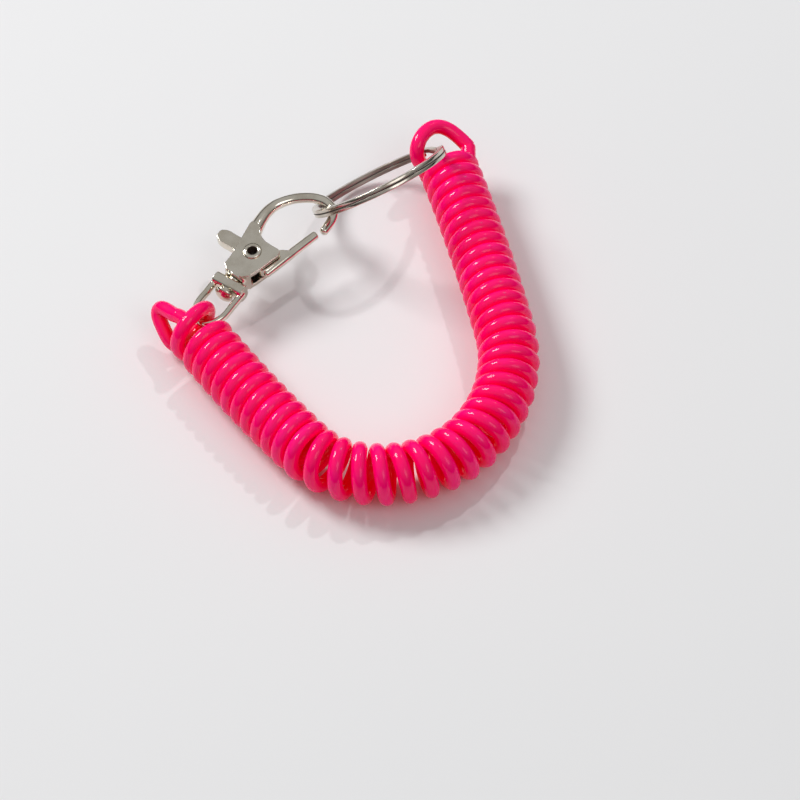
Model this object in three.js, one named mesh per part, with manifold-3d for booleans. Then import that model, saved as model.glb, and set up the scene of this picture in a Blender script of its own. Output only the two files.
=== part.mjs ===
// Spiral coil key chain, bent into a U and clipped to itself.
// Millimetres, +Z up, the table at z = 0, +Y from the bend of the U towards its open end.
import * as THREE from "three";
import { mergeVertices } from "three/addons/utils/BufferGeometryUtils.js";
import Module from "manifold-3d";

const wasm = await Module();
wasm.setup();
const { Manifold, Mesh: ManifoldMesh } = wasm;
const DEG = Math.PI / 180;

// ---- Driving dimensions ------------------------------------------------------------------

const GAP = 0.3; // clearance between pieces that touch or run on each other

// The plastic cord, and the coil that it is wound into.
const CORD_DIAMETER = 2.9;
const COIL_DIAMETER = 11.9;
const COIL_SIDES = 16;
const COIL_STEPS = 64;
const COIL_FIRST = 4.7; // where the even turns start and end, along the coil's axis
const COIL_LAST = 142.6;
const AXIS_HEIGHT = COIL_DIAMETER / 2;

// The coil's axis lies flat: a start, a heading, and arcs of one length and one turn each.
const AXIS_START = [-29.67, 11.46];
const AXIS_HEADING = -75.9;
const AXIS_ARCS = [
  { length: 37.2, turn: 8.5 },
  { length: 10.5, turn: 35.5 },
  { length: 13.3, turn: 34.5 },
  { length: 15.1, turn: 36.2 },
  { length: 24.9, turn: 44.4 },
  { length: 44.7, turn: 5.1 },
];

// Each end of the cord, as points [along, inward, up]: along is the distance on from the
// named place on the axis, inward is towards the inside of the U, up is above the table.
const CLASP_END = [
  [2.8, -4.55, 5.3],
  [2.7, -4.1, 8.0],
  [2.2, -2.3, 9.95],
  [1.5, 0, 10.45],
  [0.5, 2.5, 9.7],
  [-0.4, 4.2, 7.8],
  [-0.8, 4.55, 5.6],
  [-0.8, 3.7, 3.3],
  [-0.4, 1.8, 1.8],
  [0.2, -0.6, 1.5],
  [0.4, -2.6, 1.8],
  [0.0, -3.9, 2.7],
  [-1.6, -4.2, 3.7],
  [-3.4, -4.1, 4.7],
  [-5.2, -3.9, 5.7],
  [-6.0, -3.4, 6.7],
  [-5.6, -2.7, 7.7],
  [-4.2, -2.1, 8.6],
  [-2.4, -1.7, 9.6],
];
const RING_END = [
  [1.9, 5.2, 5.6],
  [1.85, 5.95, 7.2],
  [1.75, 6.4, 9.2],
  [2.6, 6.0, 10.9],
  [4.1, 5.0, 12.0],
  [5.6, 3.2, 12.4],
  [6.4, 1.2, 12.3],
  [6.2, -0.8, 11.6],
  [5.0, -2.4, 10.7],
  [3.6, -3.6, 9.8],
  [2.3, -4.6, 9.0],
];
const CORD_SIDES = 8;
const CORD_STEPS = 34;

// The split ring: one wire wound twice, the second layer on the first.
const RING_OUTER_RADIUS = 14.25;
const RING_WIRE = { width: 1.5, height: 0.8, corner: 0.22, between: 0.08 };
const RING_CENTRE = [14.73, 30.16, 11.3];
const RING_HEADING = 18.2;
const RING_TILT = 47.8;
const RING_WIRE_END = 18; // each wire end stops this many degrees short of the step
const RING_STEP_HALF = 14; // the step from layer to layer takes twice this angle
const RING_STEPS = 92;

// The swivel clasp, in its own frame: origin on the stem's axis at the eye's top face,
// +X along the stem towards the hook's crown, +Y towards the thumb tab, +Z out of the cheek.
const CLASP_PLACE = [-18.87, 17.86, 7.4];
const CLASP_HEADING = 37.1;
const CLASP_SLOPE = 6.3;

const EYE_BAR = { width: 7.8, thickness: 2.7, height: 4.0, taper: 0.6, bevel: 0.7 };
const EYE_WIRE = { width: 1.4, height: 1.9, corner: 0.4 };
const EYE_LOOP = [
  [-1.6, 3.1],
  [-4.6, 3.05],
  [-7.7, 3.0],
  [-10.0, 2.0],
  [-11.0, 0],
  [-10.0, -2.0],
  [-7.7, -3.0],
  [-4.6, -3.05],
  [-1.6, -3.1],
];
const STEM_RADIUS = 1.3;
const STEM_INTO = 0.4; // how far the stem runs into its head and into the cheeks
const STEM_HEAD = { radius: 2.0, length: 1.2 };
const STEM_HEAD_PROFILE = [
  [0, 0],
  [1, 0],
  [0.95, 0.45],
  [0.6, 0.88],
  [0, 1],
]; // parts of the head's radius and length
const COLLAR = { radius: 2.75, length: 1.9 };
const ROUND_SIDES = 20;

const CHEEK_THICKNESS = 4.6;
const CHEEK_BEVEL = 0.3;
const CHEEK_OUTLINE = [
  [0.9, -2.4],
  [8.6, -4.8],
  [9.7, -4.4],
  [9.9, -0.6],
  [10.7, 0.9],
  [12.6, 2.4],
  [12.6, 4.4],
  [8.1, 3.7],
  [4.8, 3.0],
  [0.9, 2.6],
];
const HOOK_BAR_RADIUS = 1.0;
const HOOK_BAR = [
  [10.2, 3.0],
  [12.0, 3.4],
  [14.5, 3.8],
  [17.0, 3.9],
  [19.4, 3.3],
  [21.8, 1.7],
  [23.4, -0.1],
  [24.6, -2.3],
  [24.9, -4.6],
  [24.0, -6.7],
  [22.0, -7.8],
  [18.9, -8.0],
];
const HOOK_BAR_SIDES = 10;
const SLOT = { from: 2.9, to: 10.3, halfHeight: 1.3, width: 16 };

const PIVOT = [6.6, 0]; // the rivet's place, and the lever's pivot
const RIVET = { shank: 1.2, bore: 0.75, head: 1.8, headHeight: 0.35, fit: 0.1 };
const LEVER_THICKNESS = 2.0;
const LEVER_HOLE_RADIUS = RIVET.shank + GAP;
const LEVER_OUTLINE = [
  [4.3, -4.3],
  [10.2, -5.7],
  [17.5, -7.9],
  [18.3, -7.1],
  [17.6, -6.2],
  [10.6, -3.9],
  [9.25, -1.9],
  [9.1, 1.4],
  [8.8, 4.2],
  [8.8, 7.6],
  [8.1, 8.7],
  [6.8, 8.7],
  [6.1, 7.6],
  [5.9, 4.0],
  [4.45, 2.7],
  [4.4, -1.2],
];
const SPRING = { radius: 0.75, wire: 0.16, turns: 4, from: 1.35, to: 3.9, side: 2.0 };
const SPRING_SIDES = 6;
const SPRING_STEPS = 48;
const SPRING_POCKET = { radius: 1.2, from: 1.0 };

// ---- Materials ---------------------------------------------------------------------------

const cordMaterial = () =>
  new THREE.MeshStandardMaterial({ color: 0xff1478, roughness: 0.22, metalness: 0 });
const nickelMaterial = () =>
  new THREE.MeshStandardMaterial({ color: 0xc9c2b4, roughness: 0.18, metalness: 1 });
const steelMaterial = () =>
  new THREE.MeshStandardMaterial({ color: 0x9a9a98, roughness: 0.35, metalness: 1 });

// ---- Solids: three.js shapes in and out of manifold-3d -------------------------------------

function solid(geometry) {
  const bare = geometry.index ? geometry.toNonIndexed() : geometry.clone();
  bare.deleteAttribute("normal");
  bare.deleteAttribute("uv");
  const merged = mergeVertices(bare, 1e-4);
  const mesh = new ManifoldMesh({
    numProp: 3,
    vertProperties: new Float32Array(merged.attributes.position.array),
    triVerts: new Uint32Array(merged.index.array),
  });
  return new Manifold(mesh);
}

function geometryOf(body) {
  const mesh = body.getMesh();
  const geometry = new THREE.BufferGeometry();
  geometry.setAttribute("position", new THREE.BufferAttribute(mesh.vertProperties, 3));
  geometry.setIndex(new THREE.BufferAttribute(mesh.triVerts, 1));
  const flat = geometry.toNonIndexed();
  flat.computeVertexNormals();
  return flat;
}

function piece(name, geometry, material) {
  const mesh = new THREE.Mesh(geometry, material);
  mesh.name = name;
  return mesh;
}

// ---- Sections and sweeps -------------------------------------------------------------------

// A polygon whose flat sides lie at the given distance from the centre.
function polygon(flatDistance, sides) {
  const corner = flatDistance / Math.cos(Math.PI / sides);
  const points = [];
  for (let i = 0; i < sides; i += 1) {
    const angle = ((i + 0.5) / sides) * 2 * Math.PI;
    points.push(new THREE.Vector2(corner * Math.cos(angle), corner * Math.sin(angle)));
  }
  return new THREE.Shape(points);
}

// A rectangle with cut corners, width along the section's x and height along its y.
function barSection(width, height, corner) {
  const x = width / 2;
  const y = height / 2;
  const points = [
    [x, y - corner],
    [x - corner, y],
    [corner - x, y],
    [-x, y - corner],
    [-x, corner - y],
    [corner - x, -y],
    [x - corner, -y],
    [x, corner - y],
  ];
  return new THREE.Shape(points.map(([px, py]) => new THREE.Vector2(px, py)));
}

function sweep(section, path, steps) {
  return new THREE.ExtrudeGeometry(section, { extrudePath: path, steps, bevelEnabled: false });
}

function smoothPath(points) {
  return new THREE.CatmullRomCurve3(points.map(([x, y, z = 0]) => new THREE.Vector3(x, y, z)));
}

function plate(outline, thickness, bevel, holes = []) {
  const shape = new THREE.Shape(outline.map(([x, y]) => new THREE.Vector2(x, y)));
  for (const { x, y, radius } of holes) {
    const hole = new THREE.Path();
    hole.absarc(x, y, radius, 0, 2 * Math.PI, true);
    shape.holes.push(hole);
  }
  const geometry = new THREE.ExtrudeGeometry(shape, {
    depth: thickness - 2 * bevel,
    bevelEnabled: bevel > 0,
    bevelSize: bevel,
    bevelThickness: bevel,
    bevelOffset: -bevel,
    bevelSegments: 1,
    curveSegments: 16,
  });
  geometry.translate(0, 0, bevel - thickness / 2);
  return geometry;
}

// A round bar along +X between two places on the stem's axis.
function alongX(radius, from, to) {
  const geometry = new THREE.CylinderGeometry(radius, radius, to - from, ROUND_SIDES);
  geometry.rotateZ(-90 * DEG);
  geometry.translate((from + to) / 2, 0, 0);
  return geometry;
}

// ---- The coil's axis -----------------------------------------------------------------------

// Position and heading at a distance along the axis; before its start the axis runs straight.
function axisAt(distance) {
  let [x, y] = AXIS_START;
  let heading = AXIS_HEADING * DEG;
  if (distance < 0) {
    return { x: x + distance * Math.cos(heading), y: y + distance * Math.sin(heading), heading };
  }
  let left = distance;
  for (const arc of AXIS_ARCS) {
    const isLast = arc === AXIS_ARCS.at(-1);
    const length = isLast ? left : Math.min(left, arc.length);
    const turn = (arc.turn * DEG * length) / arc.length;
    const chord = length * (Math.sin(turn / 2) / (turn / 2 || 1) || 1);
    x += chord * Math.cos(heading + turn / 2);
    y += chord * Math.sin(heading + turn / 2);
    heading += turn;
    left -= length;
    if (left <= 0) {
      break;
    }
  }
  return { x, y, heading };
}

// A point beside the axis: the inside of the U is on the left of the way along it.
function besideAxis(distance, inward, up) {
  const { x, y, heading } = axisAt(distance);
  return new THREE.Vector3(x - inward * Math.sin(heading), y + inward * Math.cos(heading), up);
}

class CoilAxis extends THREE.Curve {
  getPoint(t, target = new THREE.Vector3()) {
    const distance = THREE.MathUtils.lerp(COIL_FIRST, COIL_LAST, t);
    return target.copy(besideAxis(distance, 0, AXIS_HEIGHT));
  }
}

// ---- The pieces ----------------------------------------------------------------------------

function makeCoil() {
  const section = polygon(COIL_DIAMETER / 2, COIL_SIDES);
  return piece("coil_body", sweep(section, new CoilAxis(), COIL_STEPS), cordMaterial());
}

function makeCordEnd(name, from, points) {
  const path = new THREE.CatmullRomCurve3(
    points.map(([along, inward, up]) => besideAxis(from + along, inward, up)),
  );
  const section = polygon(CORD_DIAMETER / 2, CORD_SIDES);
  return piece(name, sweep(section, path, CORD_STEPS), cordMaterial());
}

// The ring's wire steps from the lower layer to the upper one half way along its two turns.
class RingWire extends THREE.Curve {
  getPoint(t, target = new THREE.Vector3()) {
    const angle = THREE.MathUtils.lerp(RING_WIRE_END, 720 - RING_WIRE_END, t);
    const rise = THREE.MathUtils.smoothstep(angle, 360 - RING_STEP_HALF, 360 + RING_STEP_HALF);
    const layer = RING_WIRE.height + RING_WIRE.between;
    const radius = RING_OUTER_RADIUS - RING_WIRE.width / 2;
    return target.set(
      radius * Math.cos(angle * DEG),
      radius * Math.sin(angle * DEG),
      (rise - 0.5) * layer,
    );
  }
}

function makeSplitRing() {
  const section = barSection(RING_WIRE.height, RING_WIRE.width, RING_WIRE.corner);
  const ring = piece("split_ring", sweep(section, new RingWire(), RING_STEPS), steelMaterial());
  ring.position.set(...RING_CENTRE);
  ring.rotation.set(-RING_TILT * DEG, 0, RING_HEADING * DEG, "ZXY");
  return ring;
}

function makeSwivelEye() {
  const { width, thickness, height, taper, bevel } = EYE_BAR;
  const half = width / 2;
  const outline = [
    [-thickness, -half],
    [0, taper - half],
    [0, half - taper],
    [-thickness, half],
  ];
  const crossbar = solid(plate(outline, height, bevel));
  const section = barSection(EYE_WIRE.height, EYE_WIRE.width, EYE_WIRE.corner);
  const loop = solid(sweep(section, smoothPath(EYE_LOOP), CORD_STEPS));
  const bore = solid(alongX(STEM_RADIUS + GAP, -2 * thickness, thickness));
  return piece("swivel_eye", geometryOf(crossbar.add(loop).subtract(bore)), nickelMaterial());
}

// The stem passes through the eye, and its head inside the eye holds it there.
function makeStem() {
  const foot = -EYE_BAR.thickness - GAP;
  const profile = STEM_HEAD_PROFILE.map(
    ([r, x]) => new THREE.Vector2(r * STEM_HEAD.radius, x * STEM_HEAD.length),
  );
  const head = new THREE.LatheGeometry(profile, ROUND_SIDES);
  head.rotateZ(90 * DEG);
  head.translate(foot, 0, 0);
  const stem = solid(alongX(STEM_RADIUS, foot - STEM_INTO, GAP + COLLAR.length));
  return stem.add(solid(head)).add(solid(alongX(COLLAR.radius, GAP, GAP + COLLAR.length)));
}

function makeHook() {
  const cheeks = solid(plate(CHEEK_OUTLINE, CHEEK_THICKNESS, CHEEK_BEVEL));
  const section = polygon(HOOK_BAR_RADIUS, HOOK_BAR_SIDES);
  const bar = solid(sweep(section, smoothPath(HOOK_BAR), CORD_STEPS));
  const slotLength = SLOT.to - SLOT.from;
  const slot = new THREE.BoxGeometry(slotLength, SLOT.width, 2 * SLOT.halfHeight);
  slot.translate(SLOT.from + slotLength / 2, 0, 0);
  const holeRadius = RIVET.shank + RIVET.fit;
  const hole = new THREE.CylinderGeometry(holeRadius, holeRadius, 2 * CHEEK_THICKNESS, ROUND_SIDES);
  hole.rotateX(90 * DEG);
  hole.translate(PIVOT[0], PIVOT[1], 0);
  const pocket = alongX(SPRING_POCKET.radius, SPRING_POCKET.from, SLOT.from + GAP);
  pocket.translate(0, SPRING.side, 0);
  const hook = cheeks
    .add(makeStem())
    .add(bar)
    .subtract(solid(slot))
    .subtract(solid(hole))
    .subtract(solid(pocket));
  return piece("clasp_hook", geometryOf(hook), nickelMaterial());
}

function makeLever() {
  const hole = { x: PIVOT[0], y: PIVOT[1], radius: LEVER_HOLE_RADIUS };
  const lever = plate(LEVER_OUTLINE, LEVER_THICKNESS, 0, [hole]);
  return piece("trigger_lever", lever, nickelMaterial());
}

// A hollow rivet: a tube with a flat head on each cheek.
function makeRivet() {
  const { shank, bore, head, headHeight, fit } = RIVET;
  const face = CHEEK_THICKNESS / 2 + fit;
  const top = face + headHeight;
  const profile = [
    [bore, -top],
    [head, -top],
    [head, -face],
    [shank, -face],
    [shank, face],
    [head, face],
    [head, top],
    [bore, top],
    [bore, -top],
  ].map(([r, y]) => new THREE.Vector2(r, y));
  const geometry = new THREE.LatheGeometry(profile, ROUND_SIDES);
  geometry.rotateX(90 * DEG);
  geometry.translate(PIVOT[0], PIVOT[1], 0);
  return piece("pivot_rivet", geometry, nickelMaterial());
}

class SpringWire extends THREE.Curve {
  getPoint(t, target = new THREE.Vector3()) {
    const angle = t * SPRING.turns * 2 * Math.PI;
    const inset = SPRING.wire;
    const x = THREE.MathUtils.lerp(SPRING.from + inset, SPRING.to - inset, t);
    const up = SPRING.radius * Math.sin(angle);
    return target.set(x, SPRING.side + SPRING.radius * Math.cos(angle), up);
  }
}

function makeGateSpring() {
  const section = polygon(SPRING.wire, SPRING_SIDES);
  return piece("gate_spring", sweep(section, new SpringWire(), SPRING_STEPS), steelMaterial());
}

function makeClasp() {
  const clasp = new THREE.Group();
  clasp.position.set(...CLASP_PLACE);
  clasp.rotation.set(0, -CLASP_SLOPE * DEG, CLASP_HEADING * DEG, "ZYX");
  clasp.add(makeSwivelEye(), makeHook(), makeLever(), makeRivet(), makeGateSpring());
  return clasp;
}

// ---- The assembly --------------------------------------------------------------------------

const keyChain = new THREE.Group();
keyChain.add(
  makeCoil(),
  makeCordEnd("clasp_end_loop", 0, CLASP_END),
  makeCordEnd("ring_end_loop", COIL_LAST, RING_END),
  makeSplitRing(),
  makeClasp(),
);

export default keyChain;
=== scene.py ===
# %% [markdown]
# # A spiral coil key chain
#
# A key chain of this kind is one long plastic cord wound into a tight spring. A small swivel
# clasp holds one end and a split ring the other, and here the clasp is clipped to the ring, so
# the coil lies on the table as a closed U. The exact solids and joints are already made: this
# lesson loads them as a fixed frame, and builds the surfaces that the eye sees around them.

# %% Load the frame
import math

import bpy
import numpy as np
from mathutils import Matrix, Vector


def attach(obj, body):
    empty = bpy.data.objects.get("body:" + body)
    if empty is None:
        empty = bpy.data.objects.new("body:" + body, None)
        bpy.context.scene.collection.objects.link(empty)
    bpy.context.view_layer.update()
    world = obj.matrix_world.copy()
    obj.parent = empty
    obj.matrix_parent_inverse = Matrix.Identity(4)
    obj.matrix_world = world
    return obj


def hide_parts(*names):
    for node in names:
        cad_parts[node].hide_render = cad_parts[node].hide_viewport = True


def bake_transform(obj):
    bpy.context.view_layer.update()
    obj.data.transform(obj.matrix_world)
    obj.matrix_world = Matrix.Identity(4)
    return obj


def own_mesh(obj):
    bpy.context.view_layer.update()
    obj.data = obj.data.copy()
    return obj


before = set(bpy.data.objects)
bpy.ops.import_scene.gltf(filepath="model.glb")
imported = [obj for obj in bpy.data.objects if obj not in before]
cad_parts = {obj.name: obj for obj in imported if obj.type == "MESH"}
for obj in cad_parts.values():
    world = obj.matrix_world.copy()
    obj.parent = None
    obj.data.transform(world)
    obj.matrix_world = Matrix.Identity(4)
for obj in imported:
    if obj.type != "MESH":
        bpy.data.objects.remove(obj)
bpy.context.view_layer.update()
MM = 0.001

# %% [markdown]
# ## The camera
#
# The key chain is looked at from above and a little from the left, through a long lens, so that
# lines which are parallel on the table stay nearly parallel. A camera is placed with a matrix:
# its three columns are the directions to the right, up and back from where it looks.

# %% Place the camera
AZIMUTH = math.radians(-19.85)
ELEVATION = math.radians(51.9)
ROLL = math.radians(1.33)
TARGET = Vector((0.00419, -0.01391, 0.0))
DISTANCE = 0.9189
LENS = 217.1


def linked(name, data):
    """A new object for a mesh, a camera or a light, linked to the scene."""
    made = bpy.data.objects.new(name, data)
    bpy.context.collection.objects.link(made)
    return made


back = Vector(
    (
        math.sin(AZIMUTH) * math.cos(ELEVATION),
        -math.cos(AZIMUTH) * math.cos(ELEVATION),
        math.sin(ELEVATION),
    )
)
level = Vector((math.cos(AZIMUTH), math.sin(AZIMUTH), 0.0))
upward = back.cross(level)
right = level * math.cos(ROLL) + upward * math.sin(ROLL)
top = upward * math.cos(ROLL) - level * math.sin(ROLL)
camera_data = bpy.data.cameras.new("view")
camera_data.lens = LENS
camera = linked("view", camera_data)
camera.matrix_world = Matrix.Translation(TARGET + back * DISTANCE) @ (
    Matrix((right, top, back)).transposed().to_4x4()
)
bpy.context.scene.camera = camera
print("camera at", [round(v, 3) for v in camera.matrix_world.translation])

# %% [markdown]
# ## Meshes from points
#
# Most pieces here are a section carried along a line. Blender can do that with curves, but the
# cord also needs to know, at every point, how far it is along and around, so a few lines of
# numpy make the rings. Each ring turns as little as it can from the one before, which keeps the
# surface free of twist. The metal pieces are drawn in millimetres first, which keeps tools such
# as the voxel remesh away from very small numbers, and are scaled to metres at the end.


# %% Carry a round section along a line
DOME_HEIGHT = 0.5  # of the bar's radius
DOME_TIP = 0.02
LINE_STEPS = 12


def unit(vectors):
    return vectors / np.linalg.norm(vectors, axis=-1, keepdims=True)


def frames_along(points):
    """Directions along the line, and two more square to it that turn as little as they can."""
    tangents = unit(np.gradient(points, axis=0))
    side = np.zeros_like(points)
    first = np.cross(tangents[0], [0.0, 0.0, 1.0])
    if np.linalg.norm(first) < 0.1:  # the line starts nearly upright
        first = np.cross(tangents[0], [1.0, 0.0, 0.0])
    side[0] = unit(first)
    for i in range(1, len(points)):
        flat = side[i - 1] - tangents[i] * np.dot(side[i - 1], tangents[i])
        side[i] = unit(flat)
    return tangents, side, np.cross(tangents, side)


def new_object(name, vertices, faces, smooth=True):
    mesh = bpy.data.meshes.new(name)
    mesh.from_pydata([tuple(v) for v in vertices], [], faces)
    mesh.polygons.foreach_set("use_smooth", [smooth] * len(mesh.polygons))
    mesh.update()
    return linked(name, mesh)


def ring_faces(count, sides, closed=False):
    """Faces between rings of vertices; closed joins the last ring to the first."""
    return [
        (
            i * sides + j,
            i * sides + (j + 1) % sides,
            (i + 1) % count * sides + (j + 1) % sides,
            (i + 1) % count * sides + j,
        )
        for i in range(count if closed else count - 1)
        for j in range(sides)
    ]


def tube(points, radius, sides=20, dome=4):
    """Vertices and faces of a round bar with domed ends; radius is a number, or one for each
    point, or a pair for each point: across and upwards."""
    points = np.asarray(points, float)
    radii = np.broadcast_to(np.asarray(radius, float).T, (2, len(points))).T.copy()
    tangents, side, lift = frames_along(points)

    def dome_rings(end, way):
        """From the tip of an end to its last ring, closing in like a quarter circle."""
        for k in range(dome):
            angle = (k / dome) * math.pi / 2
            rise = way * tangents[end] * radii[end].mean() * DOME_HEIGHT * math.cos(angle)
            width = radii[end] * max(math.sin(angle), DOME_TIP)
            yield points[end] + rise, width, side[end], lift[end]

    rings = [*dome_rings(0, -1), *zip(points, radii, side, lift), *reversed([*dome_rings(-1, 1)])]
    around = np.linspace(0, 2 * math.pi, sides, endpoint=False)
    vertices = [
        ring + width[0] * math.cos(a) * s + width[1] * math.sin(a) * u
        for ring, width, s, u in rings
        for a in around
    ]
    faces = ring_faces(len(rings), sides)
    last = (len(rings) - 1) * sides
    faces.append(tuple(reversed(range(sides))))
    faces.append(tuple(range(last, last + sides)))
    return vertices, faces


def smooth_line(points, steps=LINE_STEPS):
    """A line that passes evenly through every point (a Catmull-Rom spline)."""
    p = np.asarray(points, float)
    p = np.vstack([2 * p[0] - p[1], p, 2 * p[-1] - p[-2]])
    u = np.linspace(0, 1, steps, endpoint=False)[:, None]
    parts = [
        0.5
        * (
            2 * p[i]
            + (p[i + 1] - p[i - 1]) * u
            + (2 * p[i - 1] - 5 * p[i] + 4 * p[i + 1] - p[i + 2]) * u**2
            + (3 * p[i] - p[i - 1] - 3 * p[i + 1] + p[i + 2]) * u**3
        )
        for i in range(1, len(p) - 2)
    ]
    return np.vstack(parts + [p[-2][None]])


# %% [markdown]
# ## The cord's line
#
# The coil's axis lies flat on the table and bends in arcs. The cord winds round it in a
# right-handed helix. In the straight arms the turns touch, about three millimetres apart. Round
# the bend they still touch on the inside, so they must open like a fan on the outside: the
# distance from turn to turn grows with the bend's curvature. That one rule gives every turn.

# %% The coil's axis
CORD_RADIUS = 1.45
WIND_RADIUS = 4.5
AXIS_HEIGHT = 5.95
AXIS_START = (-29.67, 11.46)
AXIS_HEADING = math.radians(-75.9)
AXIS_ARCS = ((37.2, 8.5), (10.5, 35.5), (13.3, 34.5), (15.1, 36.2), (24.9, 44.4), (44.7, 5.1))


def axis_at(distance):
    """Place and heading on the axis, in millimetres along it; it runs straight before its start."""
    x, y = AXIS_START
    heading = AXIS_HEADING
    if distance < 0:
        return x + distance * math.cos(heading), y + distance * math.sin(heading), heading
    left = distance
    for i, (length, turn) in enumerate(AXIS_ARCS):
        run = left if i == len(AXIS_ARCS) - 1 else min(left, length)
        bend = math.radians(turn) * run / length
        chord = run * (math.sin(bend / 2) / (bend / 2) if bend else 1.0)
        x += chord * math.cos(heading + bend / 2)
        y += chord * math.sin(heading + bend / 2)
        heading += bend
        left -= run
        if left <= 0:
            break
    return x, y, heading


def beside_axis(distance, inward, up):
    x, y, heading = axis_at(distance)
    return np.array([x - inward * math.sin(heading), y + inward * math.cos(heading), up])


def curvature(distance, reach=4.0):
    """Bend per millimetre, averaged over a few turns as a real coil evens it out."""
    low, high = axis_at(distance - reach)[2], axis_at(distance + reach)[2]
    return (high - low) / (2 * reach)


axis_length, axis_turn = np.sum(AXIS_ARCS, axis=0)
print("axis runs", round(axis_length, 1), "mm and turns", round(axis_turn, 1), "deg")

# %% The helix
FIRST_SIDE, FIRST_RISE = 2.8, 4.72  # where the first turn is outermost, and where it rises
SECOND_TOP, LAST_TOP = 6.6, 141.5
SIDE_TURN, RISE_TURN, TOP_TURN = 0.5, 0.875, 1.25  # the turns counted up to those places
TURNS_BETWEEN = 41
LAST_PART = 0.75  # of a turn, from the last top to the coil's inner side
OPENING = 4.5  # how strongly a bend opens the turns, in millimetres
STEPS_PER_TURN = 40
PLACES = 4000

places = np.linspace(SECOND_TOP, LAST_TOP, PLACES)
tightness = np.array([1 - OPENING * curvature(s) for s in places])
turns_at = np.concatenate([[0], np.cumsum((tightness[1:] + tightness[:-1]) / 2)])
turns_at *= TURNS_BETWEEN / turns_at[-1]
end_pitch = (places[-1] - places[-2]) / (turns_at[-1] - turns_at[-2])

last_turn, last_place = TOP_TURN + TURNS_BETWEEN + LAST_PART, LAST_TOP + LAST_PART * end_pitch
known_turns = np.concatenate([[SIDE_TURN, RISE_TURN], TOP_TURN + turns_at, [last_turn]])
known_places = np.concatenate([[FIRST_SIDE, FIRST_RISE], places, [last_place]])
counts = np.arange(known_turns[0], known_turns[-1], 1 / STEPS_PER_TURN)
helix_places = np.interp(counts, known_turns, known_places)
helix = np.array(
    [
        beside_axis(
            s,
            WIND_RADIUS * math.cos(2 * math.pi * t),
            AXIS_HEIGHT + WIND_RADIUS * math.sin(2 * math.pi * t),
        )
        for t, s in zip(counts, helix_places)
    ]
)
print("turns", round(known_turns[-1] - known_turns[0], 2), "pitch at the ends", round(end_pitch, 2))

# %% [markdown]
# ## The end loops
#
# At each end the cord leaves the coil, makes one loop that holds the clasp or the ring, and comes
# back to the turn that it is welded to. A loop bent by hand follows no rule, so it is drawn
# point by point: along the axis, inwards from it, and up from the table. A smooth line joins the
# points and is then relaxed, because a stiff cord has no tight corners.

# %% The two end loops
CLASP_LOOP = (
    (2.65, -4.1, 7.9),
    (2.15, -2.3, 9.9),
    (1.5, 0, 10.45),
    (0.5, 2.5, 9.7),
    (-0.4, 4.2, 7.8),
    (-0.8, 4.55, 5.6),
    (-0.8, 3.7, 3.3),
    (-0.4, 1.8, 1.8),
    (0.2, -0.6, 1.5),
    (0.4, -2.6, 1.8),
    (0.0, -3.9, 2.7),
    (-1.6, -4.2, 3.7),
    (-3.4, -4.1, 4.7),
    (-5.2, -3.9, 5.7),
    (-6.0, -3.5, 6.6),
    (-5.6, -3.0, 7.5),
    (-4.3, -2.75, 8.0),
    (-2.8, -2.5, 8.4),
    (-1.4, -2.3, 8.9),
    (-0.5, -2.0, 9.4),
)
RING_LOOP = (
    (144.05, 4.9, 7.0),
    (144.3, 5.9, 8.9),
    (145.2, 6.0, 10.9),
    (146.7, 5.0, 12.0),
    (148.2, 3.2, 12.4),
    (149.0, 1.2, 12.3),
    (148.8, -0.8, 11.6),
    (147.6, -2.4, 10.7),
    (146.2, -3.6, 9.8),
    (144.8, -4.5, 9.1),
)
LOOP_STEP = 0.45
EASING = 6


def lengths_along(points):
    return np.concatenate([[0], np.cumsum(np.linalg.norm(np.diff(points, axis=0), axis=1))])


def evenly(points, step):
    lengths = lengths_along(points)
    wanted = np.linspace(0, lengths[-1], max(2, int(lengths[-1] / step)))
    return np.column_stack([np.interp(wanted, lengths, points[:, k]) for k in range(3)])


def eased(points, rounds):
    """The line with its tight corners relaxed, as a stiff cord relaxes them."""
    line = points.copy()
    for _ in range(rounds):
        line[1:-1] = line[1:-1] / 2 + (line[:-2] + line[2:]) / 4
    return line


def loop_line(before, end, loop):
    """The loop's line from the end of the helix; the point before it sets the way it leaves."""
    drawn = smooth_line([before, end] + [beside_axis(*p) for p in loop])[LINE_STEPS:]
    return eased(evenly(drawn, LOOP_STEP), EASING)


clasp_loop = loop_line(helix[2], helix[0], CLASP_LOOP)[::-1]
ring_loop = loop_line(helix[-3], helix[-1], RING_LOOP)
cord_line = np.vstack([clasp_loop[:-1], helix, ring_loop[1:]])
line_lengths = lengths_along(cord_line)
print("cord points", len(cord_line), "length", round(line_lengths[-1] * MM, 3), "m")

# %% [markdown]
# ## Finishes
#
# A finish here is a tree of shader nodes. Three small classes keep it readable. `Value` wraps
# one socket, so that sums and products can be written as ordinary Python. `Nodes` makes any node
# and feeds its sockets with numbers or with other values. `Finish` is a material made that way.


# %% A small language for shaders
class Value:
    """One output of a shader tree; arithmetic on it adds Math nodes."""

    def __init__(self, nodes, socket):
        self.nodes = nodes
        self.socket = socket

    def maths(self, operation, first, second):
        return self.nodes.node("ShaderNodeMath", {"operation": operation}, {0: first, 1: second})

    def __add__(self, other):
        return self.maths("ADD", self, other)

    def __sub__(self, other):
        return self.maths("SUBTRACT", self, other)

    def __rsub__(self, other):
        return self.maths("SUBTRACT", other, self)

    def __mul__(self, other):
        return self.maths("MULTIPLY", self, other)

    __radd__ = __add__
    __rmul__ = __mul__

    def between(self, low, high):
        """0 below low, 1 above high, and a smooth way between them."""
        settings = {"interpolation_type": "SMOOTHSTEP"}
        sockets = {"Value": self, "From Min": low, "From Max": high}
        return self.nodes.node("ShaderNodeMapRange", settings, sockets)


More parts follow.
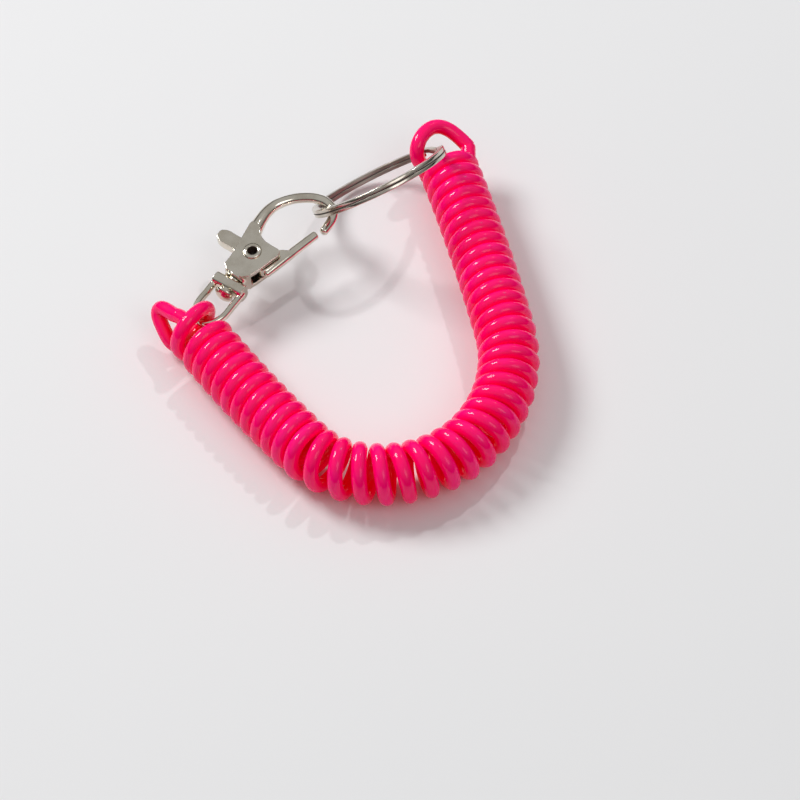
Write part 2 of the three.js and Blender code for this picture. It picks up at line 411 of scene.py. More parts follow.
class Nodes:
    """A shader tree, and the one way in which its nodes are made."""

    def __init__(self, tree):
        self.tree = tree

    def feed(self, socket, value):
        if isinstance(value, Value):
            self.tree.links.new(value.socket, socket)
        else:
            socket.default_value = value

    def node(self, kind, settings=None, sockets=None, output=0):
        made = self.tree.nodes.new(kind)
        for key, value in (settings or {}).items():
            if key == "stops":
                for stop, (position, colour) in zip(made.color_ramp.elements, value):
                    stop.position, stop.color = position, colour
            else:
                setattr(made, key, value)
        for key, value in (sockets or {}).items():
            self.feed(made.inputs[key], value)
        return Value(self, made.outputs[output])


class Finish(Nodes):
    """A material with one Principled shader."""

    def __init__(self, name):
        self.material = bpy.data.materials.new(name)
        self.material.use_nodes = True
        super().__init__(self.material.node_tree)
        self.shader = self.tree.nodes["Principled BSDF"]

    def surface(self, **sockets):
        for key, value in sockets.items():
            self.feed(self.shader.inputs[key.replace("_", " ")], value)

    def noise(self, scale, detail=2.0, stretch=None):
        place = self.node("ShaderNodeTexCoord", output="Object")
        if stretch:
            place = self.node("ShaderNodeMapping", None, {"Vector": place, "Scale": stretch})
        sockets = {"Vector": place, "Scale": scale, "Detail": detail}
        return self.node("ShaderNodeTexNoise", None, sockets, "Fac")

    def mix(self, factor, first, second):
        sockets = {0: factor, 6: first, 7: second}  # 6 and 7 are the node's two colours
        return self.node("ShaderNodeMix", {"data_type": "RGBA"}, sockets, 2)

    def bump(self, height, strength, distance):
        sockets = {"Strength": strength, "Distance": distance, "Height": height}
        return self.node("ShaderNodeBump", None, sockets)

    def attribute(self, name):
        return self.node("ShaderNodeAttribute", {"attribute_name": name}, None, "Fac")


# %% [markdown]
# ## The cord's plastic
#
# The cord is soft, glossy plastic, coloured all through and a little cloudy, so light goes a
# short way into it. Between the turns, where light bounces from turn to turn, a deeper red is
# painted into its colour as shade, and it is a touch chalky on the outside, where it rubs in a
# pocket. A little red emission paints a glow on it, standing in for the light that passes through
# the cord and keeps the shadows between the turns red. The extruder leaves very fine ripples that
# soften its reflections.

# %% Mix the pink plastic
# PINK is the plastic's own colour and the chalky pink its rubbed outside; the deep pink is painted
# shade between the turns, and the glow is a painted glow.
PINK = (1.0, 0.0, 0.15, 1.0)
PINK_IN_PAINTED_SHADE = (0.8, 0.0, 0.012, 1.0)
CHALKY_PINK = (1.0, 0.004, 0.29, 1.0)
PAINTED_GLOW = (1.0, 0.0, 0.01, 1.0)

plastic = Finish("pink_cord_plastic")
outwards = plastic.attribute("outwards")
clouds = plastic.noise(scale=140.0, detail=3.0)
# Painted shade: a deeper red on the sides that face in towards the coil's axis and between the
# turns.
colour = plastic.mix(outwards.between(-0.9, 0.15), PINK_IN_PAINTED_SHADE, PINK)
rubbed = outwards.between(0.55, 1.0) * clouds.between(0.42, 0.7) * 0.35
ripples = plastic.noise(scale=420.0) + 0.12 * plastic.noise(scale=2600.0)
plastic.surface(
    Base_Color=plastic.mix(rubbed, colour, CHALKY_PINK),
    Roughness=0.12 + 0.08 * clouds + 0.1 * rubbed,
    Specular_IOR_Level=0.05,
    Coat_Weight=0.52,
    Coat_Roughness=0.03,
    # Painted glow: the emission stands in for light that passes through the cord and bounces
    # between the turns.
    Emission_Color=PAINTED_GLOW,
    Emission_Strength=0.1,
    Subsurface_Weight=0.12,
    Subsurface_Radius=(1.0, 0.15, 0.3),
    Subsurface_Scale=0.0008,
    Normal=plastic.bump(ripples, strength=0.1, distance=0.0001),
)
print("made", plastic.material.name)

# %% [markdown]
# ## The cord
#
# The line becomes a tube of twenty-sided rings. Each point also stores whether it faces out from
# the coil's axis or in towards it, for the plastic's colour. Each point's share of a pull on the
# coil is worked out too, though it is not applied here: none in the middle of the bend, all of it
# at either end, where the clasp and the ring are, and an even rise between them along each arm.

# %% Wind the cord
CORD_SIDES = 20
CORD_DOME = 5

vertices, faces = tube(cord_line, CORD_RADIUS, CORD_SIDES, CORD_DOME)
cord = new_object("coiled_cord", np.array(vertices) * MM, faces)
cord.data.materials.append(plastic.material)

ring_count = len(vertices) // CORD_SIDES
line_index = np.clip(np.arange(ring_count) - CORD_DOME, 0, len(cord_line) - 1)
ring_of = np.repeat(line_index, CORD_SIDES)
start_of_helix = len(clasp_loop) - 1
place_along = np.concatenate(
    [
        np.full(start_of_helix, FIRST_SIDE),
        helix_places,
        np.full(len(cord_line) - start_of_helix - len(helix_places), helix_places[-1]),
    ]
)
axis_points = np.array([beside_axis(s, 0, AXIS_HEIGHT) for s in place_along])
radial = np.array(vertices) - axis_points[ring_of]
section = np.array(vertices) - cord_line[ring_of]
outward = (section * unit(radial)).sum(axis=1) / CORD_RADIUS
layer = cord.data.attributes.new("outwards", "FLOAT", "POINT")
layer.data.foreach_set("value", outward.astype(np.float32))
print("cord vertices", len(vertices))

# %% Work out each point's share of a pull, and hide the CAD coil
BEND_MIDDLE = 62.0  # the place on the axis that stays when the coil is pulled
SOFT_MIDDLE = 0.16  # keeps the bend round where the two arms' pulls meet
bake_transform(cord)
clasp_side = np.clip((BEND_MIDDLE - place_along) / (BEND_MIDDLE - FIRST_SIDE), 0, 1)
ring_side = np.clip((place_along - BEND_MIDDLE) / (helix_places[-1] - BEND_MIDDLE), 0, 1)
share = (np.hypot(clasp_side + ring_side, SOFT_MIDDLE) - SOFT_MIDDLE) / (
    math.hypot(1, SOFT_MIDDLE) - SOFT_MIDDLE
)
share[:start_of_helix] = 1.0
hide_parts("coil_body", "clasp_end_loop", "ring_end_loop")


# %% [markdown]
# ## The welds
#
# Each end of the cord is pressed hot against the turn beside it, and the plastic runs together
# in a small smooth lump. A voxel remesh is a good way to make such a lump: it melts overlapping
# shapes into one skin, and a little smoothing rounds the join.


# %% Melt shapes together
def fused(name, shapes, voxel, rounds):
    """One skin round closed shapes in millimetres, smoothed and then scaled to metres."""
    vertices, faces = [], []
    for shape_vertices, shape_faces in shapes:
        offset = len(vertices)
        vertices += [tuple(v) for v in shape_vertices]
        faces += [tuple(i + offset for i in face) for face in shape_faces]
    rough = new_object(name + "_rough", vertices, faces)
    remesh = rough.modifiers.new("melt", "REMESH")
    remesh.mode = "VOXEL"
    remesh.voxel_size = voxel
    remesh.use_smooth_shade = True
    ease = rough.modifiers.new("ease", "SMOOTH")
    ease.factor = 0.5
    ease.iterations = rounds
    return applied(name, rough)


def applied(name, rough, place=None):
    """The evaluated mesh of a drawing, in metres and in place, with the drawing removed."""
    evaluated = rough.evaluated_get(bpy.context.evaluated_depsgraph_get())
    mesh = bpy.data.meshes.new_from_object(evaluated)
    bpy.data.objects.remove(rough, do_unlink=True)
    mesh.name = name
    mesh.transform((place or Matrix.Identity(4)) @ Matrix.Scale(MM, 4))
    mesh.polygons.foreach_set("use_smooth", [True] * len(mesh.polygons))
    return linked(name, mesh)


def finish_piece(piece, finish, body, slot, *nodes):
    """Gives a piece its finish and its body, and hides the CAD nodes that it stands for; slot is
    not used.
    """
    piece.data.materials.clear()
    piece.data.materials.append(finish.material)
    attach(piece, body)
    if nodes:
        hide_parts(*nodes)
    triangles = sum(len(p.vertices) - 2 for p in piece.data.polygons)
    print(piece.name, triangles, "triangles, rides on", body)


# %% Weld both ends
WELD_RADIUS = 1.48
WELD_VOXEL = 0.14
WELD_RINGS = 6


def nearest_turn(end_index, far_enough=15.0):
    """The closest point of the line that is not simply the next bit of the cord."""
    far = np.abs(line_lengths - line_lengths[end_index]) > far_enough
    gaps = np.linalg.norm(cord_line - cord_line[end_index], axis=1)
    return cord_line[np.where(far, gaps, np.inf).argmin()]


for weld_name, end_index in (("clasp_end_weld", 0), ("ring_end_weld", -1)):
    end, turn = cord_line[end_index], nearest_turn(end_index)
    print(weld_name, "spans", round(float(np.linalg.norm(turn - end)), 2), "mm")
    bridge = tube(np.linspace(end, turn, WELD_RINGS), WELD_RADIUS, sides=24)
    lump = fused(weld_name, [bridge], WELD_VOXEL, rounds=8)
    finish_piece(lump, plastic, "coil_ends", "cord_plastic")

# %% [markdown]
# ## The plating and the steel
#
# The clasp is a zinc casting with a polished nickel plate: a warm, bright mirror that shows the
# soft waves of the casting below it. Where it rubs, it has faint hairlines and smudges. The ring
# is flattened spring steel, coiled twice and tumbled, so it is a little duller and its hairlines
# run every way. Colour, roughness and bump all vary, because one flat value looks like plastic.
# In grooves, in bores and on the ring's inside, the colour is painted dark as shade and the metal
# is made less metallic and rougher. Those places are marked on each mesh with a number that the
# finish reads.


# %% Mix the metals
# The colour of the painted shade in grooves, bores and on the ring's inside.
RECESS_SHADE = (0.05, 0.03, 0.022, 1.0)


def plated_metal(name, colour, shade, roughness, waves, hairlines):
    finish = Finish(name)
    smudges = finish.noise(scale=230.0, detail=4.0)
    grime = finish.noise(scale=900.0, detail=3.0)
    scratches = finish.noise(scale=700.0, detail=3.0, stretch=(1.0, 9.0, 2.5))
    casting = finish.noise(scale=200.0, detail=1.0)
    # Where the recess shade is painted, the colour darkens, and the metal is made less metallic and
    # rougher.
    recess_shade = finish.attribute("recess_shade")
    worn = finish.mix(smudges.between(0.35, 0.75), colour, shade)
    finish.surface(
        Base_Color=finish.mix(recess_shade, worn, RECESS_SHADE),
        Metallic=1.0 - 0.7 * recess_shade,
        Roughness=roughness + 0.1 * smudges.between(0.45, 0.75) + 0.05 * grime + 0.35 * recess_shade,
        Normal=finish.bump(
            waves * casting + hairlines * scratches, strength=0.35, distance=0.0001
        ),
    )
    return finish


NICKEL = (0.80, 0.75, 0.65, 1.0)
NICKEL_SHADE = (0.62, 0.56, 0.46, 1.0)
STEEL = (0.68, 0.63, 0.55, 1.0)
STEEL_SHADE = (0.40, 0.34, 0.28, 1.0)
nickel = plated_metal(
    "bright_nickel_plate", NICKEL, NICKEL_SHADE, roughness=0.09, waves=1.6, hairlines=0.06
)
ring_steel = plated_metal(
    "tumbled_ring_steel", STEEL, STEEL_SHADE, roughness=0.13, waves=0.3, hairlines=0.12
)
spring_wire = plated_metal(
    "spring_wire_steel", STEEL, STEEL_SHADE, roughness=0.2, waves=0.1, hairlines=0.1
)
print("metals made")


# %% Mark the painted shade
def paint_recess_shade(piece, place, amount):
    """Stores how much painted shade each vertex gets, from where it was drawn in millimetres."""
    back_to_drawing = place.inverted()
    drawn = np.array([back_to_drawing @ v.co for v in piece.data.vertices]) / MM
    layer = piece.data.attributes.new("recess_shade", "FLOAT", "POINT")
    layer.data.foreach_set("value", np.clip(amount(*drawn.T), 0, 1).astype(np.float32))


def fade(value, full, none):
    """1 at the full mark and beyond, 0 at the other mark, and even between them."""
    return np.clip((value - none) / (full - none), 0, 1)


# %% [markdown]
# ## The split ring
#
# A split ring is a flat wire wound twice round, with a short step where one layer passes to the
# other. It follows a rule, so Geometry Nodes make it: a helix-like path is turned into a curve,
# and a rounded rectangle is swept along it. The tree's inputs are the wire's sizes, so the same
# tree would make any ring. The path is made here, because its step is easier to write in numpy.


# %% Geometry Nodes helpers
def node_tree(name, inputs):
    """A geometry tree with named inputs of the given kinds, and a function that makes its nodes."""
    tree = bpy.data.node_groups.new(name, "GeometryNodeTree")
    for key, kind in {"Geometry": "NodeSocketGeometry", **inputs}.items():
        tree.interface.new_socket(key, in_out="INPUT", socket_type=kind)
    tree.interface.new_socket("Geometry", in_out="OUTPUT", socket_type="NodeSocketGeometry")

    def make(kind, settings=None, sockets=None):
        node = tree.nodes.new(kind)
        for key, value in (settings or {}).items():
            setattr(node, key, value)
        for key, value in (sockets or {}).items():
            if isinstance(value, bpy.types.NodeSocket):
                tree.links.new(value, node.inputs[key])
            else:
                node.inputs[key].default_value = value
        return node

    return tree, make


def run_tree(name, base, tree, values, place):
    """Sets the tree's inputs by their identifiers and returns the plain mesh that it makes."""
    modifier = base.modifiers.new(name, "NODES")
    modifier.node_group = tree
    for item in tree.interface.items_tree:
        if item.in_out == "INPUT" and item.name in values:
            modifier[item.identifier] = values[item.name]
    return applied(name, base, place)


def swept_wire_tree(name, flat):
    """A tree that sweeps a flat or a round section along the edges of the mesh it is given."""
    sizes = {"Wire width": "NodeSocketFloat", "Finish": "NodeSocketMaterial"}
    if flat:
        sizes |= {"Wire height": "NodeSocketFloat", "Corner": "NodeSocketFloat"}
        sizes["Corner steps"] = "NodeSocketInt"
    tree, make = node_tree(name, sizes)
    given = make("NodeGroupInput").outputs
    line = make("GeometryNodeMeshToCurve", None, {0: given["Geometry"]})
    if flat:
        size = {"Width": given["Wire width"], "Height": given["Wire height"]}
        sharp = make("GeometryNodeCurvePrimitiveQuadrilateral", {"mode": "RECTANGLE"}, size)
        rounding = {
            "Curve": sharp.outputs[0],
            "Radius": given["Corner"],
            "Count": given["Corner steps"],
        }
        section = make("GeometryNodeFilletCurve", {"mode": "POLY"}, rounding)
        line = make("GeometryNodeSetCurveNormal", {"mode": "Z_UP"}, {0: line.outputs[0]})
    else:
        half = make("ShaderNodeMath", {"operation": "MULTIPLY"}, {0: given["Wire width"], 1: 0.5})
        round_size = {"Resolution": 12, "Radius": half.outputs[0]}
        section = make("GeometryNodeCurvePrimitiveCircle", {"mode": "RADIUS"}, round_size)
    sweep = {"Curve": line.outputs[0], "Profile Curve": section.outputs[0], "Fill Caps": True}
    wire = make("GeometryNodeCurveToMesh", None, sweep)
    real = make("GeometryNodeRealizeInstances", None, {0: wire.outputs[0]})
    dress = {0: real.outputs[0], "Material": given["Finish"]}
    dressed = make("GeometryNodeSetMaterial", None, dress)
    make("NodeGroupOutput", None, {0: dressed.outputs[0]})
    return tree


def path_object(name, points):
    """A mesh of edges only, for a tree to follow."""
    mesh = bpy.data.meshes.new(name)
    edges = [(i, i + 1) for i in range(len(points) - 1)]
    mesh.from_pydata([tuple(p) for p in points], edges, [])
    return linked(name, mesh)


print("tree helpers ready")

# %% Wind the split ring
RING_OUTER = 14.25
WIRE_WIDTH = 1.5
WIRE_HEIGHT = 0.8
WIRE_CORNER = 0.22
LAYER_GAP = 0.08
# How strong the painted shade is in the groove between the layers and on the ring's inside.
GROOVE_SHADE, INSIDE_SHADE = 0.75, 0.62
RING_START, RING_END = math.radians(18), math.radians(702)
STEP_FROM, STEP_TO = math.radians(346), math.radians(374)
RING_STEPS = 420
RING_CENTRE = Vector((14.73, 30.16, 11.3))
RING_HEADING = math.radians(18.2)
RING_TILT = math.radians(47.8)


def smoothstep(value, low, high):
    t = min(max((value - low) / (high - low), 0.0), 1.0)
    return t * t * (3 - 2 * t)


ring_path = [
    (
        (RING_OUTER - WIRE_WIDTH / 2) * math.cos(a),
        (RING_OUTER - WIRE_WIDTH / 2) * math.sin(a),
        (smoothstep(a, STEP_FROM, STEP_TO) - 0.5) * (WIRE_HEIGHT + LAYER_GAP),
    )
    for a in np.linspace(RING_START, RING_END, RING_STEPS)
]
ring_place = (
    Matrix.Translation(RING_CENTRE * MM)
    @ Matrix.Rotation(RING_HEADING, 4, "Z")
    @ Matrix.Rotation(-RING_TILT, 4, "X")
)
flat_wire = swept_wire_tree("flat_wire", flat=True)
ring_sizes = {
    "Wire width": WIRE_WIDTH,
    "Wire height": WIRE_HEIGHT,
    "Corner": WIRE_CORNER,
    "Corner steps": 5,
    "Finish": ring_steel.material,
}
ring_line = path_object("ring_path", ring_path)
split_ring = run_tree("split_ring_wire", ring_line, flat_wire, ring_sizes, ring_place)


def ring_recess_shade(x, y, z):
    """Painted shade: dark in the groove between the layers, and darker and duller on the inside of
    the ring.
    """
    radius, step_near = np.hypot(x, y), np.abs(np.arctan2(y, x)) < STEP_TO - math.tau + 0.1
    groove = np.where(step_near, 0.0, GROOVE_SHADE * fade(np.abs(z), 0.1, 0.24))
    inside = fade(radius, RING_OUTER - WIRE_WIDTH + 0.05, RING_OUTER - WIRE_WIDTH + 0.3)
    return np.maximum(groove, INSIDE_SHADE * inside)


paint_recess_shade(split_ring, ring_place, ring_recess_shade)
finish_piece(split_ring, ring_steel, "ring", "ring_steel", "split_ring")

# %% [markdown]
# ## The clasp's own place
#
# The clasp is drawn lying flat, in its own directions: along from its stem to its hook, across
# from its gate side to its thumb side, and up out of its cheek. Then one matrix leans it and puts
# it where the frame has it.

# %% The clasp's place
CLASP_PLACE = Vector((-18.87, 17.86, 7.4))
CLASP_HEADING = math.radians(37.1)
CLASP_SLOPE = math.radians(6.3)
clasp_place = (
    Matrix.Translation(CLASP_PLACE * MM)
    @ Matrix.Rotation(CLASP_HEADING, 4, "Z")
    @ Matrix.Rotation(-CLASP_SLOPE, 4, "Y")
)
print("clasp stands", [round(v, 4) for v in clasp_place.translation])


# %% [markdown]
# ## Shapes for the castings
#
# A die casting is a few plain shapes that flow into one another. Three kinds are enough here: a
# flat plate with a rounded outline for the cheeks and the lever, a turned shape for the collar
# and the head, and a round bar. Each is a closed shape, so that several can be melted into one
# casting, and a bar can cut a bore.


# %% Shapes to melt together
CORNER_SHARE = 0.42  # of an outline's shorter side that is rounded away at a corner


def smooth_loop(outline, steps):
    """A closed outline through its points, rounded only a little at the corners."""
    p = np.array(outline, float)
    rounded = []
    for i, here in enumerate(p):
        before, after = p[i - 1], p[(i + 1) % len(p)]
        reach = min(np.linalg.norm(here - before), np.linalg.norm(after - here)) * CORNER_SHARE
        first = here + unit(before - here) * reach
        last = here + unit(after - here) * reach
        for t in np.linspace(0, 1, steps):
            rounded.append((1 - t) ** 2 * first + 2 * t * (1 - t) * here + t**2 * last)
    return rounded


def plate(outline, low, high, steps=5):
    """A flat plate with a rounded outline between two heights."""
    edge = smooth_loop(outline, steps)
    n = len(edge)
    vertices = [(x, y, low) for x, y in edge] + [(x, y, high) for x, y in edge]
    faces = [(i, (i + 1) % n, n + (i + 1) % n, n + i) for i in range(n)]
    faces.append(tuple(reversed(range(n))))
    faces.append(tuple(range(n, 2 * n)))
    return vertices, faces


def lathe(profile, axis="X", centre=(0, 0, 0), sides=48):
    """A closed profile of (along, radius) turned round an axis through a centre."""
    order = {"X": [0, 1, 2], "Z": [1, 2, 0]}[axis]
    turned = [
        (along, radius * math.cos(a), radius * math.sin(a))
        for along, radius in profile
        for a in np.linspace(0, 2 * math.pi, sides, endpoint=False)
    ]
    vertices = [tuple(v) for v in np.array(turned)[:, order] + centre]
    return vertices, ring_faces(len(profile), sides, closed=True)


def cylinder(start, end, radius, sides=40):
    """A closed round bar with flat ends."""
    return tube(np.linspace(start, end, 3), radius, sides, dome=0)


print("shape helpers ready")

# %% [markdown]
# ## The swivel eye
#
# The eye is a D-shaped strap with a thick crossbar, bored for the hook's stem. It is cast in one
# piece, so the bar's corners are soft and the strap flows into it. Shapes melted together by the
# voxel remesh give just that, and a Boolean cuts the bore afterwards, so that its rim stays
# crisp.


# %% Melt, cut and place a casting
SHARP_ANGLE = math.radians(50)


def cast_piece(name, shapes, cutters, voxel, rounds):
    """Melted shapes with bores cut through them, placed with the clasp."""
    casting = fused(name, shapes, voxel, rounds)
    tools = []
    for i, (vertices, faces) in enumerate(cutters):
        tool = new_object(f"{name}_cutter_{i}", np.array(vertices) * MM, faces)
        cut = casting.modifiers.new("bore", "BOOLEAN")
        cut.operation = "DIFFERENCE"
        cut.solver = "EXACT"
        cut.object = tool
        tools.append(tool)
    evaluated = casting.evaluated_get(bpy.context.evaluated_depsgraph_get())
    mesh = bpy.data.meshes.new_from_object(evaluated)
    for old in (casting, *tools):
        bpy.data.objects.remove(old, do_unlink=True)
    mesh.set_sharp_from_angle(angle=SHARP_ANGLE)
    mesh.transform(clasp_place)
    return linked(name, mesh)


EYE_LOOP = (
    (-1.3, 3.1),
    (-4.6, 3.05),
    (-7.7, 3.0),
    (-10.0, 2.0),
    (-11.0, 0.0),
    (-10.0, -2.0),
    (-7.7, -3.0),
    (-4.6, -3.05),
    (-1.3, -3.1),
)
STRAP_HALF = (0.72, 0.95)
BAR_BACK, BAR_FRONT = -2.5, -0.02
BAR_HALF = 1.75
BAR_CORNER = 0.55
BAR_REACH = 3.4
STEM_RADIUS = 1.3
STEM_FIT = 0.1
BORE_FROM, BORE_TO = -6, 1

strap_line = smooth_line([(x, y, 0.0) for x, y in EYE_LOOP], steps=10)
strap = tube(strap_line, [STRAP_HALF] * len(strap_line), sides=28, dome=0)
bar_section = (
    (BAR_BACK, -BAR_HALF + BAR_CORNER),
    (BAR_BACK + BAR_CORNER, -BAR_HALF),
    (BAR_FRONT - BAR_CORNER, -BAR_HALF),
    (BAR_FRONT, -BAR_HALF + BAR_CORNER),
    (BAR_FRONT, BAR_HALF - BAR_CORNER),
    (BAR_FRONT - BAR_CORNER, BAR_HALF),
    (BAR_BACK + BAR_CORNER, BAR_HALF),
    (BAR_BACK, BAR_HALF - BAR_CORNER),
)
upright_bar, bar_faces = plate(bar_section, -BAR_REACH, BAR_REACH)
bar = [(x, along, up) for x, up, along in upright_bar], bar_faces
bore = cylinder((BORE_FROM, 0, 0), (BORE_TO, 0, 0), STEM_RADIUS + STEM_FIT)
swivel_eye = cast_piece("swivel_eye_casting", [strap, bar], [bore], voxel=0.12, rounds=7)
finish_piece(swivel_eye, nickel, "eye", "clasp_nickel", "swivel_eye")

# %% [markdown]
# ## The hook
#
# The hook's body is one casting too: a stem whose rounded head holds it in the eye, a round
# collar, two cheeks with a slot between them for the lever, and a bar that sweeps round into the
# hook. The bar is thickest where it leaves the cheeks and thins towards its tip, so its tube
# takes a radius for every point.

# %% Cast the hook
CHEEK_OUTLINE = (
    (0.6, -2.6),
    (8.6, -4.8),
    (9.7, -4.4),
    (9.9, -0.6),
    (10.7, 0.9),
    (12.6, 2.4),
    (12.6, 4.4),
    (8.1, 3.7),
    (4.8, 3.1),
    (0.6, 3.05),
)
CHEEK_OUTSIDE = 2.3
SLOT_HALF = 1.3
SLOT_FROM, SLOT_TO = 2.9, 10.3
ROOT_OUTLINE = ((0.6, -2.6), (SLOT_FROM, -3.0), (SLOT_FROM, 3.15), (0.6, 3.05))
NOSE_OUTLINE = ((SLOT_TO, 0.6), (11.0, 1.1), (12.5, 2.4), (12.5, 4.4), (SLOT_TO, 4.1))
NOSE_HALF = 2.0
HOOK_BAR = (
    (10.2, 3.0, 1.75),
    (12.0, 3.4, 1.5),
    (14.5, 3.8, 1.28),
    (17.0, 3.9, 1.15),
    (19.4, 3.3, 1.08),
    (21.8, 1.7, 1.0),
    (23.4, -0.1, 1.0),
    (24.6, -2.3, 1.0),
    (24.9, -4.6, 1.0),
    (24.0, -6.7, 0.98),
    (22.0, -7.8, 0.95),
    (18.9, -8.0, 0.9),
)
COLLAR_PROFILE = ((0.15, 0.1), (0.15, 2.15), (0.35, 2.35), (1.3, 2.35), (1.3, 0.1))
HEAD_PROFILE = (
    (-3.0, 0.1),
    (-3.0, 1.9),
    (-3.2, 2.0),
    (-3.6, 1.85),
    (-4.0, 1.3),
    (-4.2, 0.6),
    (-4.2, 0.1),
)
PIVOT = (6.6, 0.0)
RIVET_SHANK = 1.2
RIVET_FIT = 0.08
SPRING_SIDE = 2.0
POCKET_RADIUS = 0.97
POCKET_FROM, POCKET_TO = 1.0, SLOT_FROM + 0.4
STEM_FROM, STEM_TO = -3.4, 1.2
PIVOT_REACH = 4  # a cutter's half length, more than the clasp is thick


def thinning_bar(stations, sides):
    """A domed bar through stations of along, across and radius."""
    line = smooth_line([(x, y, 0.0) for x, y, _ in stations], steps=10)
    radii = smooth_line([(r, 0.0, 0.0) for _, _, r in stations], steps=10)[:, 0]
    return tube(line, radii, sides, dome=6)


hook_shapes = [
    plate(CHEEK_OUTLINE, SLOT_HALF, CHEEK_OUTSIDE),
    plate(CHEEK_OUTLINE, -CHEEK_OUTSIDE, -SLOT_HALF),
    plate(ROOT_OUTLINE, -CHEEK_OUTSIDE, CHEEK_OUTSIDE, steps=2),
    plate(NOSE_OUTLINE, -NOSE_HALF, NOSE_HALF, steps=2),
    thinning_bar(HOOK_BAR, sides=32),
    lathe(COLLAR_PROFILE),
    lathe(HEAD_PROFILE),
    cylinder((STEM_FROM, 0, 0), (STEM_TO, 0, 0), STEM_RADIUS),
]
pivot_bore = cylinder((*PIVOT, -PIVOT_REACH), (*PIVOT, PIVOT_REACH), RIVET_SHANK + RIVET_FIT)
pocket_ends = (POCKET_FROM, SPRING_SIDE, 0), (POCKET_TO, SPRING_SIDE, 0)
bores = [pivot_bore, cylinder(*pocket_ends, POCKET_RADIUS)]
clasp_hook = cast_piece("clasp_hook_casting", hook_shapes, bores, voxel=0.12, rounds=9)
finish_piece(clasp_hook, nickel, "hook", "clasp_nickel", "clasp_hook")

# %% [markdown]
# ## The rivet
#
# The lever turns on a hollow rivet: a little tube whose ends are rolled over against the cheeks.
# Turning its section round the pivot gives the rolled rims and the hole through them, whose inside
# is painted dark as shade.

# %% Roll the rivet
RIVET_END = (
    (2.32, RIVET_SHANK),
    (2.32, 1.74),
    (2.46, 1.8),
    (2.62, 1.62),
    (2.7, 1.35),
    (2.66, 1.1),
    (2.52, 0.95),
)
# Painted shade: the hole's inside is painted dark out to the first radius, fading to none at the
# second.
BORE_SHADE_FULL, BORE_SHADE_NONE = 0.97, 1.12  # how far from its middle the hole is dark, and bright
rivet_profile = [(-h, radius) for h, radius in reversed(RIVET_END)] + list(RIVET_END)
rivet_shape = lathe(rivet_profile, "Z", (*PIVOT, 0), sides=64)
rivet = new_object("hollow_rivet", *rivet_shape)
rivet = applied("hollow_rivet_turned", rivet, clasp_place)


# Painted shade inside the rivet's hole.
def bore_recess_shade(x, y, z):
    return fade(np.hypot(x - PIVOT[0], y - PIVOT[1]), BORE_SHADE_FULL, BORE_SHADE_NONE)


paint_recess_shade(rivet, clasp_place, bore_recess_shade)
finish_piece(rivet, nickel, "hook", "clasp_nickel", "pivot_rivet")

# %% [markdown]
# ## The lever
#
# The lever is the gate and the thumb tab in one casting. Its middle is a plate that fits in the
# slot and ends in a rounded tab for the thumb, and its gate end is a round bar that closes on the
# hook's tip.

# %% Cast the lever
LEVER_PLATE = (
    (4.3, -4.0),
    (10.2, -5.5),
    (11.5, -5.6),
    (10.6, -3.9),
    (9.25, -1.9),
    (9.1, 1.4),
    (8.8, 4.2),
    (8.95, 7.4),
    (8.3, 8.75),
    (6.6, 8.75),
    (5.95, 7.4),
    (5.9, 4.0),
    (4.45, 2.7),
    (4.4, -1.2),
)
LEVER_HALF = 1.0
GATE_BAR = ((4.9, -4.25, 0.8), (9.0, -5.15, 0.95), (13.0, -6.05, 0.95), (17.3, -7.1, 0.88))
lever_shapes = [plate(LEVER_PLATE, -LEVER_HALF, LEVER_HALF), thinning_bar(GATE_BAR, sides=28)]
trigger = cast_piece("trigger_lever_casting", lever_shapes, [pivot_bore], voxel=0.11, rounds=5)
finish_piece(trigger, nickel, "lever", "clasp_nickel", "trigger_lever")

# %% [markdown]
# ## The gate spring
#
# A tiny spring in the slot pushes the lever shut. It is a wire that follows a rule, so the same
# kind of tree as the split ring's winds it, now with a round section.

# %% Wind the gate spring
SPRING_RADIUS = 0.75
SPRING_WIRE = 0.28
SPRING_TURNS = 4
SPRING_STEPS = 24  # in each turn
SPRING_FROM, SPRING_TO = 1.35, 3.9
spring_path = [
    (
        SPRING_FROM + (SPRING_TO - SPRING_FROM) * t,
        SPRING_SIDE + SPRING_RADIUS * math.cos(2 * math.pi * SPRING_TURNS * t),
        SPRING_RADIUS * math.sin(2 * math.pi * SPRING_TURNS * t),
    )
    for t in np.linspace(0, 1, SPRING_TURNS * SPRING_STEPS + 1)
]
round_wire = swept_wire_tree("round_wire", flat=False)
spring_sizes = {"Wire width": SPRING_WIRE, "Finish": spring_wire.material}
spring_line = path_object("spring_path", spring_path)
gate_spring = run_tree("gate_spring_wire", spring_line, round_wire, spring_sizes, clasp_place)
finish_piece(gate_spring, spring_wire, "hook", "spring_steel", "gate_spring")
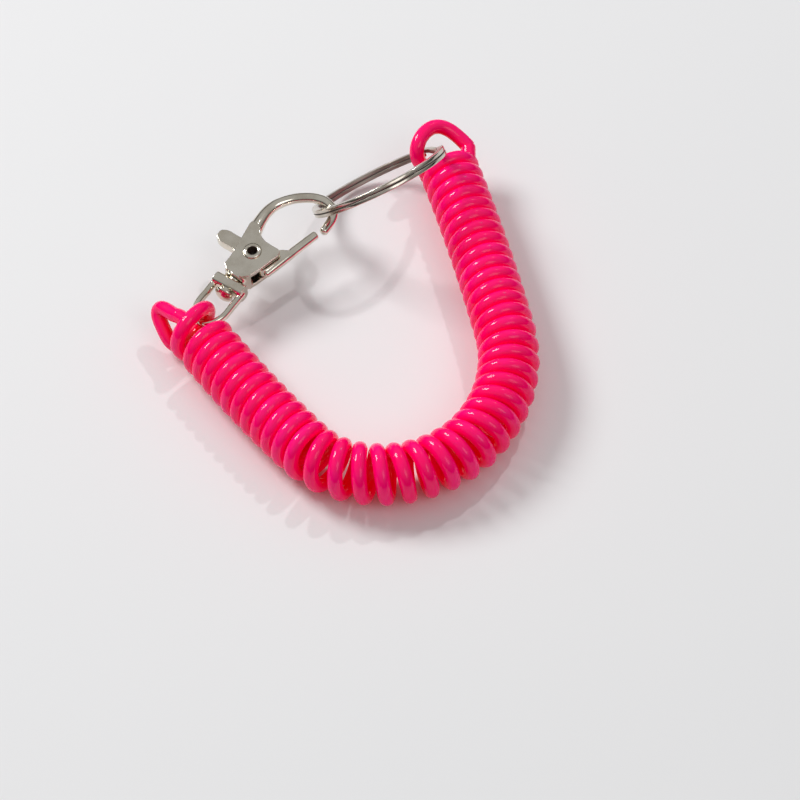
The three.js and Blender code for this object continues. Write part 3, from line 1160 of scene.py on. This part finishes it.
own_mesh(gate_spring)

# %% [markdown]
# ## Light and floor
#
# Glossy plastic and bright plating show what is around them, so the light matters as much as
# the material. A broad soft panel behind on the left gives the long highlights, a small bright
# one behind on the right gives a spark on every turn, a wide weak one in front lifts the near
# sides, and the pale room fills the rest. The room is darker low down, which gives the plating
# its dark bands. The floor is a plain pale sheet, a hair below the lowest turns.

# %% Set the lights
scene = bpy.context.scene
scene.view_settings.view_transform = "Standard"


def panel(name, direction, distance, size, power):
    """A round lamp in a direction from the middle of the table, facing it."""
    light = bpy.data.lights.new(name, "AREA")
    light.shape = "DISK"
    light.size = size
    light.energy = power
    towards = Vector(direction).normalized()
    facing = towards.to_track_quat("Z", "Y").to_matrix().to_4x4()
    linked(name, light).matrix_world = Matrix.Translation(towards * distance) @ facing


panel("soft_panel", (-0.473, 0.575, 0.667), distance=1.3, size=0.5, power=11.0)
panel("spark_panel", (0.447, 0.422, 0.788), distance=1.5, size=0.06, power=3.0)
panel("front_fill", (0.3, -0.75, 0.9), distance=1.8, size=1.0, power=3.6)

ROOM_STOPS = ((0.12, (0.05, 0.045, 0.04, 1.0)), (0.6, (1.0, 1.0, 1.0, 1.0)))
ROOM_STRENGTH = 0.44
world = bpy.data.worlds.new("room")
world.use_nodes = True
scene.world = world
room = Nodes(world.node_tree)
direction = room.node("ShaderNodeTexCoord", output="Generated")
height = room.node("ShaderNodeSeparateXYZ", None, {0: direction}, "Z")
background = world.node_tree.nodes["Background"].inputs
room.feed(background["Color"], room.node("ShaderNodeValToRGB", {"stops": ROOM_STOPS}, {0: height}))
room.feed(background["Strength"], ROOM_STRENGTH)
print("lights set")

# %% Lay the floor
FLOOR_REACH = 1.5
FLOOR_DROP = 0.0002
PALE, PALER = (0.80, 0.80, 0.81, 1), (0.82, 0.82, 0.825, 1)
paper = Finish("pale_floor")
paper.surface(
    Base_Color=paper.mix(paper.noise(scale=8.0), PALE, PALER),
    Roughness=0.7,
    Specular_IOR_Level=0.2,
)
corners = [(-1, -1, 0), (1, -1, 0), (1, 1, 0), (-1, 1, 0)]
floor = new_object("floor", np.array(corners) * FLOOR_REACH, [(0, 1, 2, 3)], smooth=False)
floor.location.z = -FLOOR_DROP
floor.data.materials.append(paper.material)
print("floor laid")
